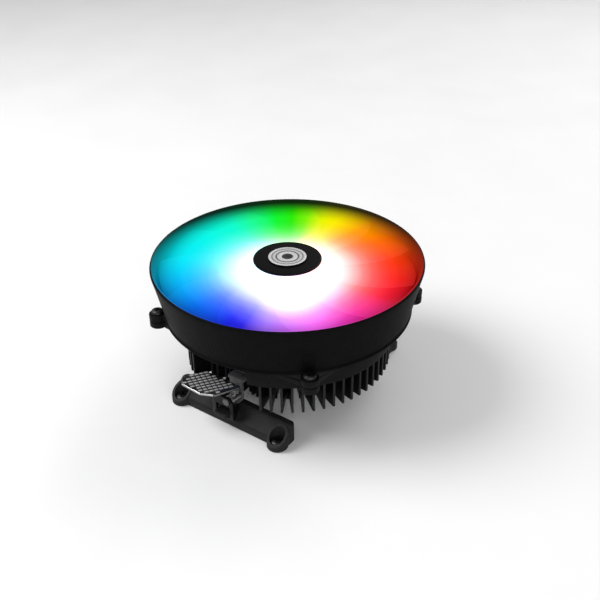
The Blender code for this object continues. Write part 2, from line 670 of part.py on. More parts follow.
def hook_cheeks():
    """The two sides of the hook, which stand back from its face and narrow downwards."""
    root = -HOOK_FACE_Y + SHEET / 2
    foot = HOOK_Z[0] + 1.2 * MM
    edge = [(root, foot), (root + 0.8 * MM, foot), (CHEEK_Y, CHEEK_Z[0]), (CHEEK_Y, CHEEK_Z[1]),
            (root, CHEEK_Z[1])]
    cheeks = []
    for low in (-HOOK_HALF_WIDTH, HOOK_HALF_WIDTH - CHEEK_THICKNESS):
        cheek = prism("cheek", edge, low, low + CHEEK_THICKNESS)
        cheek.data.transform(Matrix(SECTION_TO_X))
        cheeks.append(cheek)
    return cheeks


def hook_plate(finish):
    """A bent plate with a window for the bar's lug, a hole for the rivet and two cheeks."""
    low, high = HOOK_Z
    half, chamfer = HOOK_HALF_WIDTH, HOOK_CHAMFER
    outline = [(-half, low), (half, low), (half, high - chamfer), (half - chamfer, high),
               (-half + chamfer, high), (-half, high - chamfer)]
    plate = prism("hook_plate", outline, 0.0, SHEET)
    plate.data.transform(Matrix.Rotation(math.radians(90.0), 4, "X"))
    plate.data.transform(Matrix.Translation((0.0, -HOOK_FACE_Y + SHEET, 0.0)))
    join(plate, *hook_cheeks())
    window = LUG_HALF_WIDTH + GAP
    through = (-HOOK_FACE_Y - MM, -HOOK_FACE_Y + 2 * SHEET)
    cut(plate, block("window", (-window, window), through, (LUG_Z[0] - GAP, WINDOW_TOP_Z)),
        rod("pin_hole", BORE_RADIUS, (PIVOT_X, PIVOT_Z), *through, "Y"))
    return finished(plate, finish)


def lever_pin(finish):
    """The rivet that the lever turns on, with a head at each end."""
    low, high = -HOOK_FACE_Y - 0.9 * MM, CAM_Y[1] + 0.9 * MM
    head, height = PIN_RADIUS + 0.7 * MM, 0.6 * MM
    profile = [(0.0, low), (head * 0.7, low), (head, low + height / 2), (head, low + height),
               (PIN_RADIUS, low + height), (PIN_RADIUS, high - height), (head, high - height),
               (head, high), (0.0, high)]
    pin = turned("lever_pin", profile, SMALL)
    pin.data.transform(Matrix.Rotation(math.radians(-90.0), 4, "X"))
    pin.data.transform(Matrix.Translation((PIVOT_X, 0.0, PIVOT_Z)))
    return finished(pin, finish)


def lever_flange():
    """The pad's slanted edge, turned down beside the cam."""
    start, end = (PIVOT_X - FLANGE_WIDTH / 2, CAM_Y[0]), (PIVOT_X + FLANGE_WIDTH, CAM_Y[1])
    outline = [start, end, (end[0] - FLANGE_WIDTH, end[1]), (start[0] - FLANGE_WIDTH, start[1])]
    return prism("flange", outline, PAD_Z[0] - FLANGE_DEPTH, PAD_Z[0] + 0.5 * MM)


def cam_lever(finish):
    """A flat thumb pad on a short web, with an eccentric cam round the rivet."""
    lever = prism("cam_lever", [(x * MM, y * MM) for x, y in PAD_OUTLINE], *PAD_Z)
    center = (PIVOT_X, PIVOT_Z - CAM_OFFSET)
    join(lever, block("web", WEB_X, (CAM_Y[1] - WEB_DEPTH, CAM_Y[1]), (PIVOT_Z, PAD_Z[0] + 0.4 * MM)),
         rod("cam", CAM_RADIUS, center, *CAM_Y, "Y", steps=28), lever_flange())
    cut(lever, rod("bore", BORE_RADIUS, (PIVOT_X, PIVOT_Z), CAM_Y[0] - MM, CAM_Y[1] + MM, "Y"))
    return finished(lever, finish)


# ---------------------------------------------------------------- assembly

def on_joint(body, parent_name, place):
    """Hang a moving piece from an empty on its joint's axis, without moving it."""
    pivot = bpy.data.objects.get(parent_name)
    if pivot is None:
        pivot = bpy.data.objects.new(parent_name, None)
        pivot.location = Vector(place)
        pivot.hide_render = True
        bpy.context.scene.collection.objects.link(pivot)
    body.data.transform(Matrix.Translation(-Vector(place)))
    body.parent = pivot


def build_fixed():
    plastic = material("bar_plastic", (0.018, 0.018, 0.018), 0.45)
    black = material("frame_plastic", (0.012, 0.012, 0.012), 0.42)
    steel = material("spring_steel", (0.34, 0.34, 0.35), 0.34, 1.0)
    screw_steel = material("screw_steel", (0.10, 0.10, 0.11), 0.35, 1.0)
    retention_bar("retention_bar_front", -1, plastic)
    retention_bar("retention_bar_rear", 1, plastic)
    bar_screws(screw_steel)
    heatsink(material("black_anodised_aluminium", (0.02, 0.02, 0.021), 0.38, 0.6))
    mount_ring(black)
    fan_frame(black)
    fan_screws(screw_steel)
    clip_strap(steel)
    bearing_sleeve(material("sintered_bronze", (0.42, 0.26, 0.12), 0.45, 1.0))
    base_plug(plastic)
    circuit_board(material("board_black", (0.01, 0.012, 0.011), 0.5))
    leds(material("led_package", (0.85, 0.85, 0.80), 0.3))
    stator_core(material("lamination_steel", (0.22, 0.22, 0.24), 0.4, 1.0))
    stator_coils(material("copper_wire", (0.55, 0.20, 0.07), 0.35, 1.0))


def build_rotor():
    pieces = [impeller(material("lit_plastic", (0.80, 0.82, 0.85), 0.25)),
              hub_cap(material("cap_black", (0.008, 0.008, 0.008), 0.3)),
              hub_badge(material("badge_silver", (0.62, 0.62, 0.62), 0.28, 1.0)),
              rotor_yoke(material("yoke_steel", (0.30, 0.30, 0.31), 0.35, 1.0)),
              magnet_ring(material("magnet_black", (0.03, 0.03, 0.03), 0.6)),
              rotor_shaft(material("shaft_steel", (0.55, 0.55, 0.56), 0.18, 1.0)),
              lock_washer(material("washer_nylon", (0.75, 0.75, 0.70), 0.5))]
    for piece in pieces:
        on_joint(piece, "impeller_axis", (0.0, 0.0, BLADE_BOTTOM_Z))


def build_clip_front():
    hook_steel = material("hook_steel", (0.16, 0.16, 0.17), 0.36, 1.0)
    pivot = (PIVOT_X, -HOOK_FACE_Y, PIVOT_Z)
    for piece in (hook_plate(hook_steel), lever_pin(hook_steel)):
        on_joint(piece, "hook_guide", (0.0, -HOOK_FACE_Y, HOOK_Z[0]))
    on_joint(cam_lever(material("lever_steel", (0.60, 0.60, 0.60), 0.30, 1.0)), "lever_axis", pivot)


def main():
    for old in list(bpy.data.objects):
        bpy.data.objects.remove(old)
    build_fixed()
    build_rotor()
    build_clip_front()


main()
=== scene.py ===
"""Looks of a low-profile CPU cooler: a lit fan bowl on a round radial-fin heatsink, with a cam-lever clip.

Shapes are written in millimetres and scaled once, when their mesh is made.
"""
import json
import math

import bmesh
import bpy
from mathutils import Matrix, Vector

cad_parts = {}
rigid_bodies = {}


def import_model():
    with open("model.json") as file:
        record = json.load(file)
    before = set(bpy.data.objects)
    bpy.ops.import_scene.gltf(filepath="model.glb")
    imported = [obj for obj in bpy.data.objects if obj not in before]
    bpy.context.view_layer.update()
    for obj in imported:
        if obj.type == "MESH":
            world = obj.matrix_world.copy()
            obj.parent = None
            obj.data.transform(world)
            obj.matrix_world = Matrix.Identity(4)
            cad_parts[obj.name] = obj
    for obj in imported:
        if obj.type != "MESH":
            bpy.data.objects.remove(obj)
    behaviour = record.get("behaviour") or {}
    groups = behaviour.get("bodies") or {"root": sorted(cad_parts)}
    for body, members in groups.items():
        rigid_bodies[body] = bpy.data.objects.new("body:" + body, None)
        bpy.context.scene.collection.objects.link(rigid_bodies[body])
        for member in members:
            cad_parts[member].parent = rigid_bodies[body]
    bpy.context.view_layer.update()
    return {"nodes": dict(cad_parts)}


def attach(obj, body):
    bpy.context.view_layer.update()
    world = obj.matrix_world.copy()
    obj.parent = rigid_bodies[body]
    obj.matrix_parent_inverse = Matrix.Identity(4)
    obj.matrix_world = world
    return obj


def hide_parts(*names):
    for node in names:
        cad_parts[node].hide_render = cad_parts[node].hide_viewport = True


MM = 0.001

# Heights of the cooler's own pieces are written from a plane this far under the board, and place_piece
# brings them down. The bars and their screws are written from the board itself.
DROP = 5.0
ON_THE_BOARD = ("retention_bar", "bar_screw")

BAR_SCREW_X, BAR_SCREW_Y = 27.0, 45.0   # a bar screw's place
EAR_PLACE = 41.25                       # a fan screw's place along X and along Y
EAR_HOLE = 1.8                          # radius of a fan screw's hole
RING_TOP = 41.65                        # mount ring
FRAME_FOOT = 42.0                       # underside of the fan frame
BOWL_LOW = 45.0                         # height where the bowl starts to widen
BOWL_LOW_RADIUS = 55.0
BOWL_SPREAD = 5.0                       # how much wider the bowl is at its rim
BOWL_HEIGHT = 22.6
BOWL_WALL = 1.6
BLADE_COUNT = 11
PIVOT_X, PIVOT_Z = 2.4, 19.5            # the lever's rivet
RIVET_BORE = 1.25                       # radius
PAD_LOW, PAD_TOP = 23.55, 24.56         # the lever's pad
WINDOW = (-3.6, 3.6)                    # width of the windows that take a bar's lug

for old in list(bpy.data.objects):
    bpy.data.objects.remove(old)
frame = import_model()
cad = frame["nodes"]


# ---------------------------------------------------------------- mesh helpers

def new_object(work, name):
    """Turn a bmesh in millimetres into an object in metres, faces pointing out."""
    bmesh.ops.recalc_face_normals(work, faces=work.faces)
    bmesh.ops.scale(work, vec=(MM, MM, MM), verts=work.verts)
    mesh = bpy.data.meshes.new(name)
    work.to_mesh(mesh)
    work.free()
    made = bpy.data.objects.new(name, mesh)
    bpy.context.scene.collection.objects.link(made)
    return made


def shift(body, x=0.0, y=0.0, z=0.0):
    body.data.transform(Matrix.Translation((x * MM, y * MM, z * MM)))
    return body


def turn(body, degrees, axis="Z"):
    body.data.transform(Matrix.Rotation(math.radians(degrees), 4, axis))
    return body


def arc(center, radius, start, end, steps):
    """Points along an arc from start to end in degrees, both included."""
    angles = [math.radians(start + (end - start) * i / steps) for i in range(steps + 1)]
    return [(center[0] + radius * math.cos(a), center[1] + radius * math.sin(a)) for a in angles]


def filleted(points, radius, steps=3):
    """Round every corner of a closed outline; radius is one number, or one for each corner."""
    radii = radius if isinstance(radius, (list, tuple)) else [radius] * len(points)
    result = []
    for i, size in enumerate(radii):
        corner = Vector(points[i])
        before = Vector(points[i - 1]) - corner
        after = Vector(points[(i + 1) % len(points)]) - corner
        if size <= 0.0 or before.length < 1e-6 or after.length < 1e-6:
            result.append(tuple(corner))
            continue
        half = before.angle(after) / 2
        reach = min(size / max(math.tan(half), 1e-3), before.length * 0.45, after.length * 0.45)
        start, end = corner + before.normalized() * reach, corner + after.normalized() * reach
        for k in range(steps + 1):
            t = k / steps
            result.append(tuple((1 - t) ** 2 * start + 2 * t * (1 - t) * corner + t * t * end))
    return result


def lathe(name, profile, steps=96, shape=None):
    """Revolve a closed profile of (radius, z); shape(radius, z, angle) may shift the radius."""
    work = bmesh.new()
    rings = []
    for radius, z in profile:
        if radius <= 0.0:
            rings.append([work.verts.new((0.0, 0.0, z))])
            continue
        ring = []
        for i in range(steps):
            a = 2 * math.pi * i / steps
            r = radius if shape is None else shape(radius, z, a)
            ring.append(work.verts.new((r * math.cos(a), r * math.sin(a), z)))
        rings.append(ring)
    pairs = list(zip(rings, rings[1:]))
    if profile[0][0] > 0.0 or profile[-1][0] > 0.0:
        pairs.append((rings[-1], rings[0]))
    for low, high in pairs:
        for i in range(steps):
            j = (i + 1) % steps
            loop = (low[i % len(low)], low[j % len(low)], high[j % len(high)], high[i % len(high)])
            work.faces.new(list(dict.fromkeys(loop)))
    return new_object(work, name)


def rod(name, radius, low, high, steps):
    return lathe(name, [(0, low), (radius, low), (radius, high), (0, high)], steps)


def tube(name, bore, radius, low, high, steps):
    return lathe(name, [(bore, low), (radius, low), (radius, high), (bore, high)], steps)


def prism(name, outline, low, high):
    """Extrude a closed outline of (x, y) from low to high along Z."""
    work = bmesh.new()
    bottom = [work.verts.new((x, y, low)) for x, y in outline]
    top = [work.verts.new((x, y, high)) for x, y in outline]
    work.faces.new(bottom)
    work.faces.new(top)
    for i in range(len(outline)):
        j = (i + 1) % len(outline)
        work.faces.new((bottom[i], bottom[j], top[j], top[i]))
    return new_object(work, name)


def block(name, x, y, z):
    return prism(name, [(x[0], y[0]), (x[1], y[0]), (x[1], y[1]), (x[0], y[1])], *z)


def baked(body):
    """Apply a body's modifiers to its mesh."""
    bpy.context.view_layer.update()
    evaluated = body.evaluated_get(bpy.context.evaluated_depsgraph_get())
    mesh = bpy.data.meshes.new_from_object(evaluated)
    body.modifiers.clear()
    body.data = mesh
    return body


def rounded(body, width, segments=2, angle=35.0):
    """Round the sharp edges of a body."""
    bevel = body.modifiers.new("edge", "BEVEL")
    bevel.width = width * MM
    bevel.segments = segments
    bevel.limit_method = "ANGLE"
    bevel.angle_limit = math.radians(angle)
    return baked(body)


def combine(body, operation, tools):
    for tool in tools:
        boolean = body.modifiers.new("cut", "BOOLEAN")
        boolean.operation = operation
        boolean.object = tool
        baked(body)
        bpy.data.objects.remove(tool)
    return body


def cut(body, *tools):
    return combine(body, "DIFFERENCE", tools)


def join(body, *tools):
    return combine(body, "UNION", tools)


def merged(name, bodies):
    """Put several bodies into one mesh, as they are."""
    work = bmesh.new()
    for body in bodies:
        work.from_mesh(body.data)
        bpy.data.objects.remove(body)
    mesh = bpy.data.meshes.new(name)
    work.to_mesh(mesh)
    work.free()
    made = bpy.data.objects.new(name, mesh)
    bpy.context.scene.collection.objects.link(made)
    return made


def place_piece(body, rides, stands_for, finish, smooth=35.0):
    """Give a piece its finish and its CAD body, and hide the CAD node it stands for."""
    body.data.materials.clear()
    body.data.materials.append(finish)
    body.data.shade_smooth()
    body.data.set_sharp_from_angle(angle=math.radians(smooth))
    if not stands_for.startswith(ON_THE_BOARD):
        shift(body, z=-DROP)
    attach(body, rides)
    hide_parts(stands_for)
    return body


def corners(half_x, half_y):
    return [(sx * half_x, sy * half_y) for sx, sy in ((1, 1), (-1, 1), (-1, -1), (1, -1))]


# ---------------------------------------------------------------- materials

def blank(name):
    made = bpy.data.materials.new(name)
    made.use_nodes = True
    return made, made.node_tree, made.node_tree.nodes["Principled BSDF"]


def math_node(tree, operation, first, second=None, third=None, clamp=False):
    node = tree.nodes.new("ShaderNodeMath")
    node.operation = operation
    node.use_clamp = clamp
    for socket, value in zip(node.inputs, (first, second, third)):
        if isinstance(value, (int, float)):
            socket.default_value = value
        elif value is not None:
            tree.links.new(value, socket)
    return node.outputs[0]


def ramp(tree, factor, stops, smooth="LINEAR"):
    """A colour ramp; a stop is (place, colour), and a single number stands for a grey."""
    node = tree.nodes.new("ShaderNodeValToRGB")
    node.color_ramp.interpolation = smooth
    points = node.color_ramp.elements
    while len(points) < len(stops):
        points.new(1.0)
    for point, (at, tone) in zip(points, stops):
        point.position = at
        point.color = (tone, tone, tone, 1.0) if isinstance(tone, (int, float)) else (*tone, 1.0)
    tree.links.new(factor, node.inputs[0])
    return node.outputs[0]


def noise(tree, vector, scale, detail=3.0, roughness=0.55):
    node = tree.nodes.new("ShaderNodeTexNoise")
    node.inputs["Scale"].default_value = scale
    node.inputs["Detail"].default_value = detail
    node.inputs["Roughness"].default_value = roughness
    tree.links.new(vector, node.inputs["Vector"])
    return node.outputs[0]


def stretched(tree, vector, scale):
    """A vector scaled along each axis, in cells per millimetre."""
    node = tree.nodes.new("ShaderNodeMapping")
    node.inputs["Scale"].default_value = [s / MM for s in scale]
    tree.links.new(vector, node.inputs["Vector"])
    return node.outputs[0]


def mixed(tree, factor, first, second, blend="MIX"):
    """Mix two colours; each is a colour tuple or a socket."""
    node = tree.nodes.new("ShaderNodeMix")
    node.data_type = "RGBA"
    node.blend_type = blend
    for socket, value in ((node.inputs[0], factor), (node.inputs[6], first), (node.inputs[7], second)):
        if isinstance(value, tuple):
            socket.default_value = (*value, 1.0)
        elif isinstance(value, (int, float)):
            socket.default_value = value
        else:
            tree.links.new(value, socket)
    return node.outputs[2]


def object_coordinates(tree):
    return tree.nodes.new("ShaderNodeTexCoord").outputs["Object"]


def bumped(tree, shader, height, depth):
    node = tree.nodes.new("ShaderNodeBump")
    node.inputs["Distance"].default_value = depth * MM
    tree.links.new(height, node.inputs["Height"])
    tree.links.new(node.outputs[0], shader.inputs["Normal"])


def surface(name, tones, gloss, grain, depth, metallic=0.0, specular=0.5, cloud=0.25):
    """A grained finish: two tones in soft clouds, roughness that follows the grain, and a fine bump."""
    made, tree, shader = blank(name)
    shader.inputs["Metallic"].default_value = metallic
    shader.inputs["Specular IOR Level"].default_value = specular
    space = object_coordinates(tree)
    fine = noise(tree, stretched(tree, space, grain), 1.0)
    broad = noise(tree, stretched(tree, space, (cloud, cloud, cloud)), 1.0, 2.0)
    both = math_node(tree, "MULTIPLY_ADD", fine, 0.45, math_node(tree, "MULTIPLY", broad, 0.55))
    tree.links.new(ramp(tree, both, [(0.3, tones[0]), (0.7, tones[1])]), shader.inputs["Base Color"])
    tree.links.new(ramp(tree, fine, [(0.3, gloss[0]), (0.7, gloss[1])]), shader.inputs["Roughness"])
    bumped(tree, shader, fine, depth)
    return made, tree, shader


def split_axes(tree, vector):
    node = tree.nodes.new("ShaderNodeSeparateXYZ")
    tree.links.new(vector, node.inputs[0])
    return node.outputs


def length(tree, x, y):
    square = math_node(tree, "ADD", math_node(tree, "MULTIPLY", x, x), math_node(tree, "MULTIPLY", y, y))
    return math_node(tree, "SQRT", square)


def world_place(tree):
    """World x, y, height from the drop plane, and radius from the fan's axis, all in millimetres."""
    x, y, z = split_axes(tree, tree.nodes.new("ShaderNodeNewGeometry").outputs["Position"])
    radius = math_node(tree, "DIVIDE", length(tree, x, y), MM)
    height = math_node(tree, "MULTIPLY_ADD", z, 1 / MM, DROP)
    return math_node(tree, "DIVIDE", x, MM), math_node(tree, "DIVIDE", y, MM), height, radius


# Colour of the light at each angle about the fan's axis, in degrees
RAINBOW = [(-180, (0.0, 0.93, 0.80)), (-150, (0.0, 0.82, 0.96)), (-122, (0.0, 0.46, 1.0)),
           (-100, (0.0, 0.16, 0.95)), (-80, (0.01, 0.02, 0.95)), (-73, (0.03, 0.02, 0.97)),
           (-63, (0.34, 0.13, 1.0)), (-42, (1.0, 0.10, 0.98)), (-20, (1.0, 0.03, 0.38)),
           (0, (1.0, 0.015, 0.05)), (20, (1.0, 0.012, 0.006)), (42, (1.0, 0.05, 0.006)),
           (62, (1.0, 0.15, 0.0)), (80, (0.98, 0.34, 0.0)), (97, (0.98, 0.84, 0.0)),
           (105, (0.80, 0.91, 0.0)), (115, (0.20, 0.88, 0.0)), (124, (0.02, 0.84, 0.0)),
           (134, (0.005, 0.92, 0.03)), (148, (0.01, 0.95, 0.28)), (162, (0.003, 0.96, 0.62)),
           (180, (0.0, 0.93, 0.80))]


# Spots of light: a place, and the strength at each distance from it, in millimetres
LIGHT_REACH = 75.0              # distance and height that stand for the end of a ramp
MIDDLE_PLACE = (4.0, -3.5)
MIDDLE = [(21, 1.0), (25, 0.70), (28.2, 0.46), (32.2, 0.21), (36.2, 0.09), (40.2, 0.036), (44, 0.01),
          (48, 0.0)]
BEAM_PLACE = (19.0, -23.0)
BEAM = [(4, 0.9), (10, 0.42), (15, 0.17), (21, 0.05), (27, 0.0)]
LEVEL = [(46.5, 1.0), (48, 0.95), (52, 0.75), (55, 0.54), (58, 0.27), (60.5, 0.09), (62, 0.02)]
WHITE_STRENGTH = 1.2
COLUMN_TOP = 64.0               # height at which the column of light stands over the fan's axis
COLUMN_LEAN = (1.07, -1.41)     # how far it leans for each millimetre down
DARK_BELOW, LIT_ABOVE = 52.5, 55.0


def rainbow(tree, x, y):
    share = math_node(tree, "MULTIPLY_ADD", math_node(tree, "ARCTAN2", y, x), 1 / (2 * math.pi), 0.5)
    return ramp(tree, share, [((angle + 180) / 360, tone) for angle, tone in RAINBOW])


def spot(tree, x, y, place, stops):
    """A round spot of light about a place in millimetres; a stop is (distance, strength)."""
    dx = math_node(tree, "SUBTRACT", x, place[0])
    dy = math_node(tree, "SUBTRACT", y, place[1])
    away = math_node(tree, "DIVIDE", length(tree, dx, dy), LIGHT_REACH)
    return ramp(tree, away, [(distance / LIGHT_REACH, strength) for distance, strength in stops])


def fan_light(tree):
    """The fan's own light: the colour turns with the angle, and the middle burns out to white.

    It is one leaning column, so blades at different heights and the wall behind them carry one picture.
    It gives the plain colour, the light, and the radius and height of the shaded point.
    """
    x, y, z, radius = world_place(tree)
    under = math_node(tree, "SUBTRACT", COLUMN_TOP, z)
    x = math_node(tree, "MULTIPLY_ADD", under, COLUMN_LEAN[0], x)
    y = math_node(tree, "MULTIPLY_ADD", under, COLUMN_LEAN[1], y)
    tone = rainbow(tree, x, y)
    middle = spot(tree, x, y, MIDDLE_PLACE, MIDDLE)
    beam = spot(tree, x, y, BEAM_PLACE, BEAM)
    white = math_node(tree, "MULTIPLY", math_node(tree, "ADD", middle, beam), WHITE_STRENGTH)
    level = spot(tree, x, y, (0.0, 0.0), LEVEL)
    above = ramp(tree, math_node(tree, "DIVIDE", z, LIGHT_REACH),
                 [(DARK_BELOW / LIGHT_REACH, 0.02), (LIT_ABOVE / LIGHT_REACH, 1.0)])
    lit = mixed(tree, 1.0, mixed(tree, 1.0, tone, level, "MULTIPLY"), white, "ADD")
    return tone, mixed(tree, 1.0, lit, above, "MULTIPLY"), radius, z


def glowing_plastic():
    """Milky fan plastic that carries the fan's light as a painted glow; faces that look down get painted
    shade.
    """
    made, tree, shader = blank("glowing_plastic")
    tone, lit = fan_light(tree)[:2]
    # painted shade: faces that look down get only a little of the glow
    facing = split_axes(tree, tree.nodes.new("ShaderNodeNewGeometry").outputs["Normal"])
    up = math_node(tree, "MULTIPLY_ADD", facing[2], 0.5, 0.5)
    upper = ramp(tree, up, [(0.15, 0.04), (0.4, 1.0)])
    tree.links.new(mixed(tree, 1.0, lit, upper, "MULTIPLY"), shader.inputs["Emission Color"])
    shader.inputs["Emission Strength"].default_value = 1.0
    # the plain colour is painted with the glow's hue, kept nearly black
    tree.links.new(mixed(tree, 1.0, tone, (0.01, 0.01, 0.01), "MULTIPLY"), shader.inputs["Base Color"])
    shader.inputs["Specular IOR Level"].default_value = 0.03
    grain = noise(tree, stretched(tree, object_coordinates(tree), (1.5, 1.5, 1.5)), 1.0)
    tree.links.new(ramp(tree, grain, [(0.3, 0.42), (0.7, 0.55)]), shader.inputs["Roughness"])
    return made


def bowl_plastic():
    """Black moulded plastic; its inner wall is painted with the blades' light, a painted reflection of their
    glow.
    """
    made, tree, shader = surface("bowl_plastic", ((0.002, 0.002, 0.0021), (0.004, 0.004, 0.0041)),
                                 (0.46, 0.60), (3.0, 3.0, 3.0), 0.02, specular=0.03)
    lit, radius, z = fan_light(tree)[1:]
    # painted reflection: only the inner wall takes the blades' glow
    rise = math_node(tree, "SUBTRACT", z, BOWL_LOW)
    middle_of_wall = BOWL_LOW_RADIUS - BOWL_WALL / 2
    edge = math_node(tree, "MULTIPLY_ADD", rise, BOWL_SPREAD / BOWL_HEIGHT, middle_of_wall)
    inside = math_node(tree, "LESS_THAN", radius, edge)
    tree.links.new(mixed(tree, 1.0, lit, inside, "MULTIPLY"), shader.inputs["Emission Color"])
    shader.inputs["Emission Strength"].default_value = 1.0
    return made


def ring_finish(name, tones, gloss, metallic=1.0):
    """Metal turned on a lathe: fine rings about the fan's axis."""
    made, tree, shader = blank(name)
    shader.inputs["Metallic"].default_value = metallic
    ring_pitch, layer = 0.16 * MM, 1.0 * MM
    x, y, z = split_axes(tree, object_coordinates(tree))
    rings = tree.nodes.new("ShaderNodeCombineXYZ")
    tree.links.new(math_node(tree, "DIVIDE", length(tree, x, y), ring_pitch), rings.inputs[0])
    tree.links.new(math_node(tree, "DIVIDE", z, layer), rings.inputs[1])
    fine = noise(tree, rings.outputs[0], 1.0, 2.0)
    tree.links.new(ramp(tree, fine, [(0.3, tones[0]), (0.7, tones[1])]), shader.inputs["Base Color"])
    tree.links.new(ramp(tree, fine, [(0.3, gloss[0]), (0.7, gloss[1])]), shader.inputs["Roughness"])
    bumped(tree, shader, fine, 0.012)
    return made, tree, shader


def fin_metal():
    """Black anodised extrusion: drawing lines along Z, a painted highlight that makes the fin tips a little
    lighter, a bare machined underside.
    """
    made, tree, shader = surface("fin_metal", ((0.0015, 0.0015, 0.0016), (0.004, 0.004, 0.0042)),
                                 (0.40, 0.56), (4.0, 4.0, 0.25), 0.03, metallic=0.2, specular=0.06)
    bare_below, full_radius = 12.56, 50.0
    z, radius = world_place(tree)[2:]
    dark = shader.inputs["Base Color"].links[0].from_socket
    # painted highlight: the fin tips are painted a little lighter than the rest
    tip = ramp(tree, math_node(tree, "DIVIDE", radius, full_radius), [(0.915, 0.0), (0.93, 1.0)])
    tips_painted_lighter = mixed(tree, tip, dark, (0.022, 0.022, 0.023))
    base = math_node(tree, "LESS_THAN", z, bare_below)
    tree.links.new(mixed(tree, base, tips_painted_lighter, (0.55, 0.55, 0.56)), shader.inputs["Base Color"])
    return made


def coined_silver():
    """The badge: light silver, with painted shade that darkens its grooves and sunk middle."""
    made, tree, shader = ring_finish("badge_silver", ((0.46, 0.46, 0.46), (0.62, 0.62, 0.62)),
                                     (0.42, 0.58), 0.5)
    badge_low = 67.5 - DROP
    depth = math_node(tree, "MULTIPLY_ADD", split_axes(tree, object_coordinates(tree))[2], 1 / MM, -badge_low)
    # painted shade: the lower a point lies on the badge, the darker it is painted
    shade = ramp(tree, depth, [(0.16, 0.02), (0.22, 0.05), (0.28, 0.30), (0.34, 0.62), (0.44, 1.0)])
    silver = shader.inputs["Base Color"].links[0].from_socket
    tree.links.new(mixed(tree, 1.0, silver, shade, "MULTIPLY"), shader.inputs["Base Color"])
    return made


def knurled_steel():
    """Nickel-plated steel with painted shade between the knurl's bumps and painted highlights on their tops
    and the sheet's edge.

    Heights are counted from just above the pad's underside. The edge beside the hook gets painted shade, and
    painted shade grows towards the pad's left end.
    """
    made, tree, shader = surface("nickel_steel", ((0.80, 0.80, 0.79), (1.0, 1.0, 0.99)), (0.24, 0.42),
                                 (1.2, 1.2, 1.2), 0.02, metallic=1.0)
    across_edge, edge_line, underside = (0.895, -0.446), 22.6, -0.2
    x, y, z = (math_node(tree, "DIVIDE", axis, MM) for axis in split_axes(tree, object_coordinates(tree)))
    sheet = math_node(tree, "SUBTRACT", z, 23.6 - DROP)
    # painted highlight on the sheet's edge and painted shade on its flat top, by height
    edge = ramp(tree, sheet, [(0.55, 0.62), (0.86, 0.85), (0.94, 0.80), (0.965, 0.04), (1.0, 0.04)])
    # painted shade on the edge beside the hook
    beside = math_node(tree, "MULTIPLY_ADD", y, across_edge[1], math_node(tree, "MULTIPLY", x, across_edge[0]))
    shaded = math_node(tree, "GREATER_THAN", beside, edge_line)
    held = math_node(tree, "MULTIPLY", shaded, math_node(tree, "GREATER_THAN", sheet, underside))
    edge = math_node(tree, "MULTIPLY", edge, math_node(tree, "MULTIPLY_ADD", held, -0.75, 1.0))
    # painted shade that grows towards the pad's left end
    along = math_node(tree, "MULTIPLY_ADD", x, 0.05, 1.1, clamp=True)
    edge = math_node(tree, "MULTIPLY", edge, math_node(tree, "MULTIPLY_ADD", along, 0.7, 0.3))
    # painted shade low on the knurl's bumps, painted highlight on their tops
    crest = ramp(tree, math_node(tree, "SUBTRACT", sheet, 1.0), [(0.04, 0.012), (0.14, 0.10), (0.26, 0.44)])
    knurl = math_node(tree, "GREATER_THAN", sheet, 1.0)
    level = math_node(tree, "MULTIPLY_ADD", knurl, math_node(tree, "SUBTRACT", crest, edge), edge)
    clouds = shader.inputs["Base Color"].links[0].from_socket
    tree.links.new(mixed(tree, 1.0, clouds, level, "MULTIPLY"), shader.inputs["Base Color"])
    tree.links.new(math_node(tree, "MULTIPLY_ADD", knurl, -0.75, 1.0), shader.inputs["Metallic"])
    return made


bar_plastic = surface("moulded_bar", ((0.008, 0.008, 0.0082), (0.013, 0.013, 0.0132)), (0.48, 0.62),
                      (5.0, 5.0, 5.0), 0.03, specular=0.16)[0]
frame_plastic = surface("moulded_frame", ((0.003, 0.003, 0.0031), (0.006, 0.006, 0.0061)), (0.44, 0.58),
                        (4.0, 4.0, 4.0), 0.02, specular=0.07)[0]
bowl_finish = bowl_plastic()
blade_finish = glowing_plastic()
cap_finish = surface("cap_black", ((0.001, 0.001, 0.001), (0.003, 0.003, 0.003)), (0.34, 0.46),
                     (2.5, 2.5, 2.5), 0.01, specular=0.06)[0]
badge_finish = coined_silver()
fin_finish = fin_metal()
strap_finish = surface("spring_steel", ((0.07, 0.07, 0.07), (0.12, 0.12, 0.12)), (0.45, 0.62),
                       (5.0, 0.3, 5.0), 0.02, metallic=0.2)[0]
# the hook's steel carries painted shade: it is painted much darker than the strap's steel
hook_finish = surface("steel_with_painted_shade", ((0.014, 0.014, 0.0145), (0.032, 0.032, 0.033)), (0.38, 0.55),
                      (0.4, 4.0, 4.0), 0.02, metallic=1.0)[0]
lever_finish = knurled_steel()
screw_finish = surface("black_zinc", ((0.025, 0.025, 0.026), (0.06, 0.06, 0.062)), (0.34, 0.52),
                       (3.0, 3.0, 3.0), 0.02, metallic=1.0)[0]

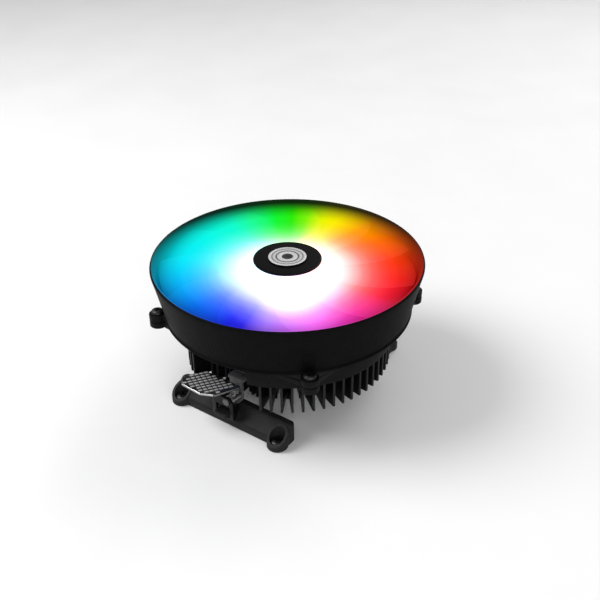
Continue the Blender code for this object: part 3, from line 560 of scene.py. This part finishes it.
# Finishes of the CAD nodes that stay, by node name without its number
carried_finishes = {
    "heatsink": fin_finish,
    "lever_pin": strap_finish,
    "base_plug": frame_plastic,
    "bearing_sleeve": surface("bronze", ((0.33, 0.19, 0.08), (0.48, 0.30, 0.14)), (0.35, 0.55),
                              (6.0, 6.0, 6.0), 0.02, 1.0)[0],
    "circuit_board": surface("board_mask", ((0.006, 0.010, 0.008), (0.012, 0.020, 0.015)), (0.25, 0.4),
                             (0.9, 0.9, 0.9), 0.03)[0],
    "led": surface("led_body", ((0.72, 0.72, 0.66), (0.86, 0.86, 0.80)), (0.25, 0.35),
                   (3.0, 3.0, 3.0), 0.01)[0],
    "stator_core": surface("laminations", ((0.14, 0.14, 0.15), (0.30, 0.30, 0.32)), (0.3, 0.5),
                           (0.3, 0.3, 5.0), 0.05, 1.0)[0],
    "stator_coil": surface("wire", ((0.34, 0.11, 0.04), (0.70, 0.28, 0.11)), (0.22, 0.42),
                           (0.5, 0.5, 4.0), 0.12, 1.0)[0],
    "rotor_yoke": ring_finish("yoke_steel", ((0.20, 0.20, 0.21), (0.36, 0.36, 0.37)), (0.28, 0.45))[0],
    "magnet_ring": surface("ferrite", ((0.02, 0.02, 0.021), (0.045, 0.045, 0.047)), (0.5, 0.7),
                           (4.0, 4.0, 4.0), 0.03)[0],
    "rotor_shaft": surface("ground_steel", ((0.45, 0.45, 0.46), (0.62, 0.62, 0.63)), (0.12, 0.22),
                           (0.3, 0.3, 8.0), 0.008, 1.0)[0],
    "lock_washer": surface("nylon", ((0.62, 0.62, 0.56), (0.76, 0.76, 0.70)), (0.4, 0.5),
                           (3.0, 3.0, 3.0), 0.01)[0],
}


# ---------------------------------------------------------------- retention bars and screws

# Turns an outline drawn in (y, z) and extruded along its own third axis so that it runs along X
PROFILE_ALONG_X = Matrix(((0, 0, 1, 0), (1, 0, 0, 0), (0, 1, 0, 0), (0, 0, 0, 1)))


def sloped(body, lift=0.0):
    """Cut a bar's top to its profile: flat at the back, then falling towards the screws."""
    top, start, far = 9.25 + lift, 39.8, 54.0
    fall = 0.77 * (far - start)
    above, behind = top + 9.0, 30.0
    outline = [(behind, top), (start, top), (far, top - fall), (far, above), (behind, above)]
    cutter = prism("cutter", outline, -40, 40)
    cutter.data.transform(PROFILE_ALONG_X)
    return cut(body, cutter)


def retention_bar(name, node, side):
    """A wedge-shaped bar with a collar round each slanted screw pocket, and the lug the clip hooks under."""
    back, front, end, boss = 36.75, 46.35, 30.95, 4.65
    corner, collar_bore, pocket, floor_height, hole = 2.4, 3.3, 3.4, 1.2, 2.1
    dip = math.degrees(math.acos((front - BAR_SCREW_Y) / boss))
    flank = math.degrees(math.acos((end - BAR_SCREW_X) / boss))
    right = arc((end - corner, back + corner), corner, -90.0, 0.0, 6)
    right += arc((BAR_SCREW_X, BAR_SCREW_Y), boss, -flank, 90.0 + dip, 26)
    beam = prism(name, right + [(-x, y) for x, y in reversed(right)], 0.05, 12.0)
    rounded(sloped(beam), 0.55, 3)
    for x in (-BAR_SCREW_X, BAR_SCREW_X):
        collar = tube("collar", collar_bore, boss - 0.05, 0.5, 14.0, 64)
        join(beam, sloped(shift(collar, x, BAR_SCREW_Y), 0.45))
    for x in (-BAR_SCREW_X, BAR_SCREW_X):
        cut(beam, shift(rod("pocket", pocket, floor_height, 15.0, 64), x, BAR_SCREW_Y),
            shift(rod("hole", hole, -1.0, 4.0, 24), x, BAR_SCREW_Y))
    rounded(beam, 0.16, 2, 50.0)
    join(beam, rounded(block("lug", (-3.25, 3.25), (40.0, 50.35), (6.45, 8.55)), 0.45, 3))
    if side < 0:
        turn(beam, 180.0)
    return place_piece(beam, "cooler", node, bar_plastic)


def pan_head(name, node, place, shank, head, heights):
    """A pan-head screw with a cross recess, a little turned; heights are its tip, seat and top."""
    tip, seat, top = heights
    tall, straight = top - seat, 0.45
    point = [(0, tip), (shank * 0.7, tip), (shank, tip + shank * 0.5), (shank, seat)]
    dome = [(head, seat), (head, seat + tall * straight)]
    for a in (0.35, 0.7, 1.0, 1.3):
        dome.append((head * math.cos(a), seat + tall * (straight + (1 - straight) * math.sin(a))))
    body = lathe(name, point + dome + [(0, top)], 40)
    width, reach, depth = head * 0.14, head * 0.6, head * 0.42
    for across, along in ((reach, width), (width, reach)):
        cut(body, block("cross", (-across, across), (-along, along), (top - depth, top + 1.0)))
    turn(body, 22.0)
    shift(body, *place)
    return place_piece(body, "cooler", node, screw_finish)


retention_bar("bar_front", "retention_bar_front", -1)
retention_bar("bar_rear", "retention_bar_rear", 1)
for number, place in enumerate(corners(BAR_SCREW_X, BAR_SCREW_Y), 1):
    pan_head(f"bar_bolt_{number}", f"bar_screw_{number}", place, 1.75, 2.9, (0.3, 1.5, 3.5))


# ---------------------------------------------------------------- mount ring

def wedge(angles, low, high):
    """A cutter that opens outwards between two radial lines, from a flat face."""
    face, far = -36.5, 75.0
    lines = [math.radians(angle) for angle in angles]
    inner = [(face / math.tan(line), face) for line in lines]
    outer = [(far * math.cos(line), far * math.sin(line)) for line in reversed(lines)]
    return prism("wedge", inner + outer, low, high)


def ear(reach, low, high):
    """A screw ear that grows out of a round body of a radius."""
    outline = arc((EAR_PLACE, EAR_PLACE), 3.85, -82.0, 172.0, 20) + arc((0, 0), reach, 65.0, 25.0, 16)
    return rounded(prism("ear", outline, low, high), 0.35, 3)


def eared(body, reach, low, high):
    for quarter in range(4):
        join(body, turn(ear(reach, low, high), 90.0 * quarter))
    for place in corners(EAR_PLACE, EAR_PLACE):
        cut(body, shift(rod("hole", EAR_HOLE, low - 1, high + 1, 24), *place))
    return body


ring = lathe("mount_ring", filleted([(46.85, 32.0), (48.25, 32.0), (48.25, RING_TOP), (46.85, RING_TOP)],
                                    [0.3, 0.5, 0.25, 0.25], 3), 180)
eared(ring, 47.6, 38.75, RING_TOP)
cut(ring, wedge((-116.32, -74.5), 31.0, 40.4))
place_piece(ring, "cooler", "fan_mount_ring", frame_plastic)


# ---------------------------------------------------------------- fan frame

def wall(z):
    """Outer radius of the bowl at a height."""
    return BOWL_LOW_RADIUS + BOWL_SPREAD * (z - BOWL_LOW) / BOWL_HEIGHT


def ribbed(radius, z, angle):
    """Fine upright ribs moulded on the lower half of the bowl's outside."""
    low, high, rib_count, rib_depth = 46.0, 57.0, 180, 0.10
    if radius < wall(z) - 0.3 or not low < z < high:
        return radius
    fade = math.sin(math.pi * (z - low) / (high - low)) ** 0.5
    return radius - rib_depth * fade * (1 - math.cos(rib_count * angle)) / 2


outside_heights = (45.8, 46.1, 46.6, 47.5, 49, 50.5, 52, 53.5, 55, 56, 56.9, 57.2, 60, 63)
outside = [(wall(z) - 0.02, z) for z in outside_heights]
rim = arc((59.05, 66.77), 0.82, -10.0, 170.0, 10)
inside = [(wall(z) - BOWL_WALL, z) for z in (64.5, 62, 59, 56, 53, 50, 48)]
foot = [(48.5, 45.6), (48.4, 45.2), (48.4, 42.4), (50.15, 42.4), (50.15, 43.6), (50.5, 44.15)]
lip = [(54.9, 44.15), (55.3, 44.25), (55.5, 44.5), (55.5, 44.95), (55.3, 45.25), (55.02, 45.5)]
bowl = lathe("fan_bowl", foot + lip + outside + rim + inside, 720, ribbed)
place_piece(bowl, "cooler", "fan_frame", bowl_finish, 50.0)

foot_low = FRAME_FOOT + 0.02
spider_profile = filleted([(48.45, foot_low), (50.1, foot_low), (50.1, 45.0), (48.45, 45.0)], 0.2, 2)
spider = lathe("fan_spider", spider_profile, 180)
eared(spider, 49.4, foot_low, 44.95)
hub_seat = lathe("seat", [(3.6, 42.05), (19.8, 42.05), (20.4, 42.6), (20.4, 45.3), (20.1, 45.55),
                          (19.6, 45.55), (19.5, 45.3), (19.5, 44.2), (5.2, 44.2), (5.0, 44.4),
                          (5.0, 59.7), (4.8, 59.95), (3.6, 59.95)], 96)
for i in range(4):
    arm = rounded(block("arm", (19.9, 49.2), (-2.9, 2.9), (42.1, 44.95)), 0.7, 3)
    join(hub_seat, turn(arm, 45.0 + 90.0 * i))
join(spider, hub_seat)
place_piece(spider, "cooler", "fan_frame", frame_plastic)

for number, place in enumerate(corners(EAR_PLACE, EAR_PLACE), 1):
    heights = (37.6, 45.3, 46.9)
    pan_head(f"fan_bolt_{number}", f"fan_screw_{number}", place, 1.45, 2.65, heights)


# ---------------------------------------------------------------- impeller

def blade(name, spans=12, chords=20):
    """One swept, cambered blade with rounded edges, its root inside the hub.

    t runs along the span from root to tip, and s along the chord from the top edge to the bottom one.
    """
    work = bmesh.new()
    root, top, root_bottom, tip_bottom = 18.2, 64.0, 58.5, 54.5
    thick, thin_edge, clearance, chord_turn, sweep = 1.45, 0.12, 1.15, 64.0, 16.0
    loops = []
    for m in range(spans + 1):
        t = m / spans
        upper, lower = [], []
        for k in range(chords + 1):
            s = k / chords
            z = top - (top - root_bottom + (root_bottom - tip_bottom) * t) * s ** 1.1
            tip = wall(top - (top - tip_bottom) * s) - BOWL_WALL - clearance
            fullness = thin_edge + (1 - thin_edge) * math.sin(math.pi * s) ** 0.45
            body = 0.5 * thick * fullness * (1.0 if m < spans else 0.5)
            radius = root + (tip - root) * t
            a = math.radians(chord_turn * s + sweep * t * t)
            x, y = radius * math.cos(a), radius * math.sin(a)
            upper.append(work.verts.new((x, y, z + body)))
            lower.append(work.verts.new((x, y, z - body)))
        loops.append(upper + lower[::-1])
    for first, second in zip(loops, loops[1:]):
        for i in range(len(first)):
            j = (i + 1) % len(first)
            work.faces.new((first[i], first[j], second[j], second[i]))
    work.faces.new(loops[0])
    work.faces.new(loops[-1])
    bmesh.ops.triangulate(work, faces=[f for f in work.faces if len(f.verts) > 4])
    return new_object(work, name)


shell = lathe("shell", [(0, 63.6), (1.85, 63.6), (1.85, 62.05), (15.9, 62.05), (16.6, 61.8),
                        (16.95, 61.0), (17.0, 48.2), (17.2, 48.05), (18.8, 48.05), (18.95, 48.2),
                        (18.95, 63.6), (18.8, 64.8), (18.3, 65.6), (17.5, 66.0), (16.6, 66.1), (0, 66.1)], 128)
blades = [turn(blade("blade"), 360.0 * i / BLADE_COUNT) for i in range(BLADE_COUNT)]
impeller = merged("fan_impeller", [shell] + blades)
place_piece(impeller, "rotor", "impeller", blade_finish, 60.0)

cap = lathe("cap_disc", [(0, 66.4), (15.0, 66.4), (15.08, 66.5), (15.08, 66.85), (14.95, 67.05),
                         (14.6, 67.16), (14.0, 67.2), (9.0, 67.2), (0, 67.2)], 128)
place_piece(cap, "rotor", "hub_cap", cap_finish)
badge = lathe("badge_disc", [(0, 67.52), (8.3, 67.52), (8.4, 67.6), (8.4, 67.8), (8.2, 67.93),
                             (7.7, 67.98), (7.3, 67.93), (7.05, 67.80), (6.6, 67.78), (6.4, 67.88),
                             (5.9, 67.93), (5.4, 67.88), (5.15, 67.76), (4.7, 67.74), (4.5, 67.86),
                             (4.1, 67.96), (3.4, 68.0), (2.7, 67.92), (2.3, 67.70), (0, 67.68)], 96)
place_piece(badge, "rotor", "hub_badge", badge_finish)


# ---------------------------------------------------------------- clip

# The knurl's lattice on the pad, and each bump from its foot up: its half sizes along both
# directions of the lattice, as shares of a cell, and its height
KNURL_START = (-6.5, -49.0)
KNURL_ALONG, KNURL_ACROSS = (1.68, -0.96), (1.20, 1.77)
KNURL_BUMP = ((0.43, 0.47, 0.0), (0.38, 0.45, 0.08), (0.25, 0.39, 0.27), (0.13, 0.30, 0.34))
KNURL_BORDER = 1.0


def well_inside(x, y, outline, margin):
    """Whether a point lies inside a convex outline by at least a margin."""
    centre = Vector((sum(x for x, y in outline), sum(y for x, y in outline))) / len(outline)
    for i, (ax, ay) in enumerate(outline):
        bx, by = outline[(i + 1) % len(outline)]
        edge = Vector((bx - ax, by - ay)).normalized()
        across = edge.x * (y - ay) - edge.y * (x - ax)
        towards = edge.x * (centre.y - ay) - edge.y * (centre.x - ax)
        if across * math.copysign(1.0, towards) < margin:
            return False
    return True


def pad_grips(outline, low):
    """A diamond knurl: rows of low, flat-topped bumps that cover the pad inside its border."""
    work = bmesh.new()
    start, along, across = Vector(KNURL_START), Vector(KNURL_ALONG), Vector(KNURL_ACROSS)
    for i in range(-14, 15):
        for k in range(-12, 13):
            place = start + i * along + k * across
            if not well_inside(*place, outline, KNURL_BORDER):
                continue
            loops = []
            for share_a, share_b, height in KNURL_BUMP:
                cell = [place + share_a * p * along + share_b * q * across
                        for p, q in ((-1, -1), (1, -1), (1, 1), (-1, 1))]
                loops.append([work.verts.new((*point, low + height)) for point in cell])
            work.faces.new(loops[0])
            work.faces.new(loops[-1])
            for first, second in zip(loops, loops[1:]):
                for m in range(4):
                    n = (m + 1) % 4
                    work.faces.new((first[m], first[n], second[n], second[m]))
    return new_object(work, "grips")


def rivet_bore(near, far):
    """A cutter for the rivet's hole, along Y."""
    return shift(turn(rod("bore", RIVET_BORE, near, far, 32), -90.0, "X"), PIVOT_X, 0.0, PIVOT_Z)


def cam_lever():
    """The knurled pad, a turned-down tooth at its right edge, and the web that carries the cam."""
    outline = [(-17.05, -54.5), (-6.3, -55.1), (0.05, -52.15), (5.0, -42.2), (4.4, -41.25), (-8.5, -41.0),
               (-14.8, -41.5), (-18.0, -46.4), (-19.9, -51.1)]
    corner_radii = [0.8, 0.6, 0.8, 0.5, 0.5, 1.5, 2.0, 2.0, 0.9]
    plate = prism("plate", filleted(outline, corner_radii, 4), PAD_LOW, PAD_TOP)
    rounded(plate, 0.22, 3)
    root, edge_slant, cam_lift = 23.9, 0.497, 0.8
    tooth = prism("tooth", [(-45.9, root), (-42.3, root), (-42.3, 21.4), (-42.8, 21.4)], 0.0, 1.2)
    tooth.data.transform(Matrix(((edge_slant, 0, 1, 0), *PROFILE_ALONG_X[1:])))
    shift(tooth, 24.6)
    web = block("web", (0.95, 3.35), (-42.95, -40.25), (19.3, root))
    cam_profile = [(0, -46.55), (2.25, -46.55), (2.25, -40.25), (0, -40.25)]
    cam = lathe("cam", filleted(cam_profile, [0, 0.2, 0.2, 0], 2), 48)
    turn(cam, -90.0, "X")
    shift(cam, PIVOT_X, 0.0, PIVOT_Z - cam_lift)
    join(plate, rounded(tooth, 0.12, 2), rounded(web, 0.25, 2), cam)
    cut(plate, rivet_bore(-48, -38))
    return merged("clip_lever", [plate, pad_grips(outline, PAD_TOP - 0.02)])


place_piece(cam_lever(), "lever", "cam_lever", lever_finish, 30.0)


def strap():
    """The band through the fins, its fixed rear hook, and its front end bent down to a foot."""
    wide, narrow, front, rear, bend = (-4.15, 4.15), (-3.25, 3.25), -38.85, 49.35, 25.3
    band = block("clip_band", wide, (front, rear), (24.2, 25.7))
    join(band, block("hook", wide, (48.2, rear), (9.95, bend)),
         block("drop", narrow, (front, -37.45), (14.65, bend)),
         block("foot", narrow, (-46.15, -37.8), (14.62, 16.05)))
    cut(band, block("window", WINDOW, (47.2, 52.0), (11.1, 17.0)),
        block("slot", (-2.2, 2.2), (-35.4, -33.9), (23.0, 27.0)))
    return rounded(band, 0.32, 3)


place_piece(strap(), "cooler", "clip_strap", strap_finish)


def hook():
    """The movable hook: a face with a window for the bar's lug, the rivet's hole and two cheeks."""
    half, low, shoulder, top = 5.75, 9.95, 19.3, 21.25
    outline = [(-half, low), (half, low), (half, shoulder), (3.75, top), (-3.75, top), (-half, shoulder)]
    face = prism("clip_hook", filleted(outline, [0.5, 0.5, 0.6, 0.6, 0.6, 0.6], 3), 0.0, 1.15)
    shift(turn(face, 90.0, "X"), 0.0, -47.03, 0.0)
    # the cheek's upper corner is cut back to let the lever's tooth pass
    cheek = [(-47.4, 11.2), (-46.8, 11.2), (-43.25, 16.4), (-43.25, 16.8), (-45.0, 17.75), (-47.4, 17.75)]
    for inner, outer in ((-4.95, -half), (4.95, half)):
        plate = prism("cheek", cheek, inner, outer)
        plate.data.transform(PROFILE_ALONG_X)
        join(face, plate)
    cut(face, block("window", WINDOW, (-49.0, -46.0), (11.1, 16.8)))
    cut(face, rivet_bore(-50, -45))
    return rounded(face, 0.22, 2)


place_piece(hook(), "hook", "hook_plate", hook_finish)


# ---------------------------------------------------------------- CAD nodes that stay

for node_name, node in cad.items():
    if node.hide_render:
        continue
    kind = node_name.rstrip("_0123456789")
    node.data.materials.clear()
    node.data.materials.append(carried_finishes[kind])
    bevel = node.modifiers.new("edge", "BEVEL")
    bevel.width = (0.10 if kind == "heatsink" else 0.15) * MM
    bevel.segments = 2
    bevel.limit_method = "ANGLE"
    bevel.angle_limit = math.radians(40.0)


# ---------------------------------------------------------------- studio

def floor():
    finish = surface("studio_floor", ((0.72, 0.72, 0.72), (0.76, 0.76, 0.76)), (0.55, 0.65),
                     (0.02, 0.02, 0.02), 0.0, cloud=0.004)[0]
    work = bmesh.new()
    bmesh.ops.create_grid(work, x_segments=8, y_segments=8, size=3000.0)
    plane = new_object(work, "studio_floor")
    plane.data.materials.append(finish)


def soft_light(name, place, target, size, power):
    """A round area light; places and size are in metres, power in watts."""
    data = bpy.data.lights.new(name, "AREA")
    data.shape = "DISK"
    data.size = size
    data.energy = power
    lamp = bpy.data.objects.new(name, data)
    lamp.location = place
    lamp.rotation_mode = "QUATERNION"
    lamp.rotation_quaternion = (Vector(target) - Vector(place)).to_track_quat("-Z", "Y")
    bpy.context.scene.collection.objects.link(lamp)


def studio():
    floor()
    world = bpy.data.worlds.new("studio")
    world.use_nodes = True
    background = world.node_tree.nodes["Background"]
    background.inputs["Color"].default_value = (1.0, 1.0, 1.0, 1.0)
    background.inputs["Strength"].default_value = 0.35
    bpy.context.scene.world = world
    middle = (0.0, 0.0, 0.03)
    soft_light("key", (-0.55, -0.35, 0.75), middle, 0.6, 9.0)
    soft_light("fill", (0.65, -0.55, 0.45), middle, 0.7, 4.0)
    soft_light("back", (0.1, 0.75, 0.6), middle, 0.8, 4.0)


def camera():
    """The camera, its place in metres: turned about Z by yaw, tilted down by pitch, levelled by roll."""
    place = (0.20362, -0.26886, 0.24766)
    yaw, pitch, roll = math.radians(-36.234), math.radians(31.582), math.radians(-0.595)
    ahead = Vector((math.sin(yaw) * math.cos(pitch), math.cos(yaw) * math.cos(pitch), -math.sin(pitch)))
    right = Vector((math.cos(yaw), -math.sin(yaw), 0.0))
    up = right.cross(ahead)
    axis_x = math.cos(roll) * right + math.sin(roll) * up
    axis_y = -math.sin(roll) * right + math.cos(roll) * up
    data = bpy.data.cameras.new("camera")
    data.lens = 52.75
    data.sensor_width = 36.0
    data.clip_start = 0.01
    made = bpy.data.objects.new("camera", data)
    rows = [(axis_x[i], axis_y[i], -ahead[i], place[i]) for i in range(3)]
    made.matrix_world = Matrix((*rows, (0.0, 0.0, 0.0, 1.0)))
    bpy.context.scene.collection.objects.link(made)
    bpy.context.scene.camera = made


studio()
camera()
bpy.context.scene.view_settings.view_transform = "Standard"
